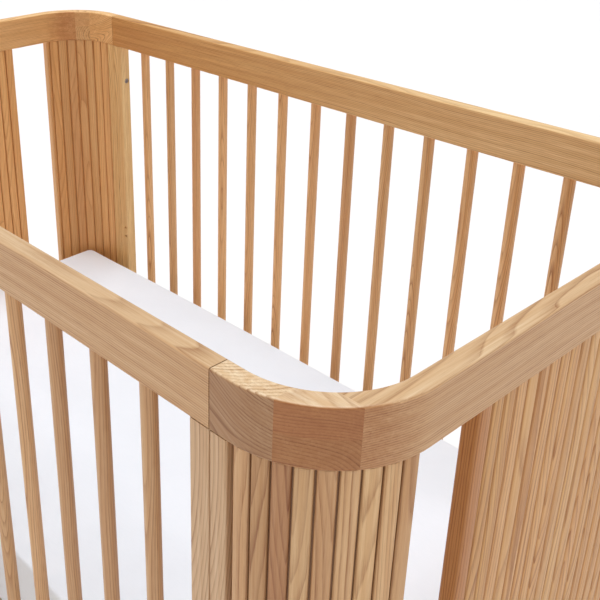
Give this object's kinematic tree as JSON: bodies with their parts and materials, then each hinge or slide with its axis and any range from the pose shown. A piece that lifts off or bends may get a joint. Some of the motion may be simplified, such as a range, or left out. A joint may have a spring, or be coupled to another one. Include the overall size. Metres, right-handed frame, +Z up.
{
  "type": "baby crib",
  "caption": "Wooden baby crib with rounded reeded corners, slim round spindles, reeded end panels and a height-adjustable mattress base.",
  "frame": {"origin": "on the floor, under the middle of the crib's outside box", "axes": "+X along the length towards the right end, +Y across the width from the front side to the back side, +Z up"},
  "size_m": [1.375, 0.755, 0.9],
  "materials": {
    "ash_rails": "satin",
    "ash_corner_blocks": "satin",
    "ash_spindles": "satin",
    "ash_stiles": "satin",
    "ash_reeds": "satin",
    "ash_feet": "satin",
    "base_wood": "matte",
    "mattress_cover": "matte",
    "bolt_steel": "satin",
    "bracket_steel": "satin",
    "insert_steel": "satin"
  },
  "bodies": {
    "frame": {"corner_post_back_left": "ash_reeds", "corner_post_back_right": "ash_reeds", "corner_post_front_left": "ash_reeds", "corner_post_front_right": "ash_reeds", "end_bottom_rail_left": "ash_rails", "end_bottom_rail_right": "ash_rails", "end_panel_left": "ash_reeds", "end_panel_right": "ash_reeds", "end_stile_back_left": "ash_stiles", "end_stile_back_right": "ash_stiles", "end_stile_front_left": "ash_stiles", "end_stile_front_right": "ash_stiles", "end_top_rail_left": "ash_rails", "end_top_rail_right": "ash_rails", "feet": "ash_feet", "frame_bolts": "bolt_steel", "side_bottom_rail_back": "ash_rails", "side_bottom_rail_front": "ash_rails", "side_stile_back_left": "ash_stiles", "side_stile_back_right": "ash_stiles", "side_stile_front_left": "ash_stiles", "side_stile_front_right": "ash_stiles", "side_top_rail_back": "ash_rails", "side_top_rail_front": "ash_rails", "spindle_back_01": "ash_spindles", "spindle_back_02": "ash_spindles", "spindle_back_03": "ash_spindles", "spindle_back_04": "ash_spindles", "spindle_back_05": "ash_spindles", "spindle_back_06": "ash_spindles", "spindle_back_07": "ash_spindles", "spindle_back_08": "ash_spindles", "spindle_back_09": "ash_spindles", "spindle_back_10": "ash_spindles", "spindle_back_11": "ash_spindles", "spindle_back_12": "ash_spindles", "spindle_back_13": "ash_spindles", "spindle_front_01": "ash_spindles", "spindle_front_02": "ash_spindles", "spindle_front_03": "ash_spindles", "spindle_front_04": "ash_spindles", "spindle_front_05": "ash_spindles", "spindle_front_06": "ash_spindles", "spindle_front_07": "ash_spindles", "spindle_front_08": "ash_spindles", "spindle_front_09": "ash_spindles", "spindle_front_10": "ash_spindles", "spindle_front_11": "ash_spindles", "spindle_front_12": "ash_spindles", "spindle_front_13": "ash_spindles", "threaded_inserts": "insert_steel", "top_corner_back_left": "ash_corner_blocks", "top_corner_back_right": "ash_corner_blocks", "top_corner_front_left": "ash_corner_blocks", "top_corner_front_right": "ash_corner_blocks"},
    "mattress_base": {"base_bearers": "base_wood", "base_slats": "base_wood", "base_brackets": "bracket_steel", "bracket_bolts": "bolt_steel"},
    "mattress_pad": {"mattress": "mattress_cover"}
  },
  "joints": [
    {"name": "base_height", "type": "slide", "parent": "frame", "child": "mattress_base", "axis": [0, 0, 1], "range_m": [0, 0.22]},
    {"name": "mattress_lift", "type": "slide", "parent": "mattress_base", "child": "mattress_pad", "axis": [0, 0, 1], "range_m": [0, 0.7]}
  ]
}
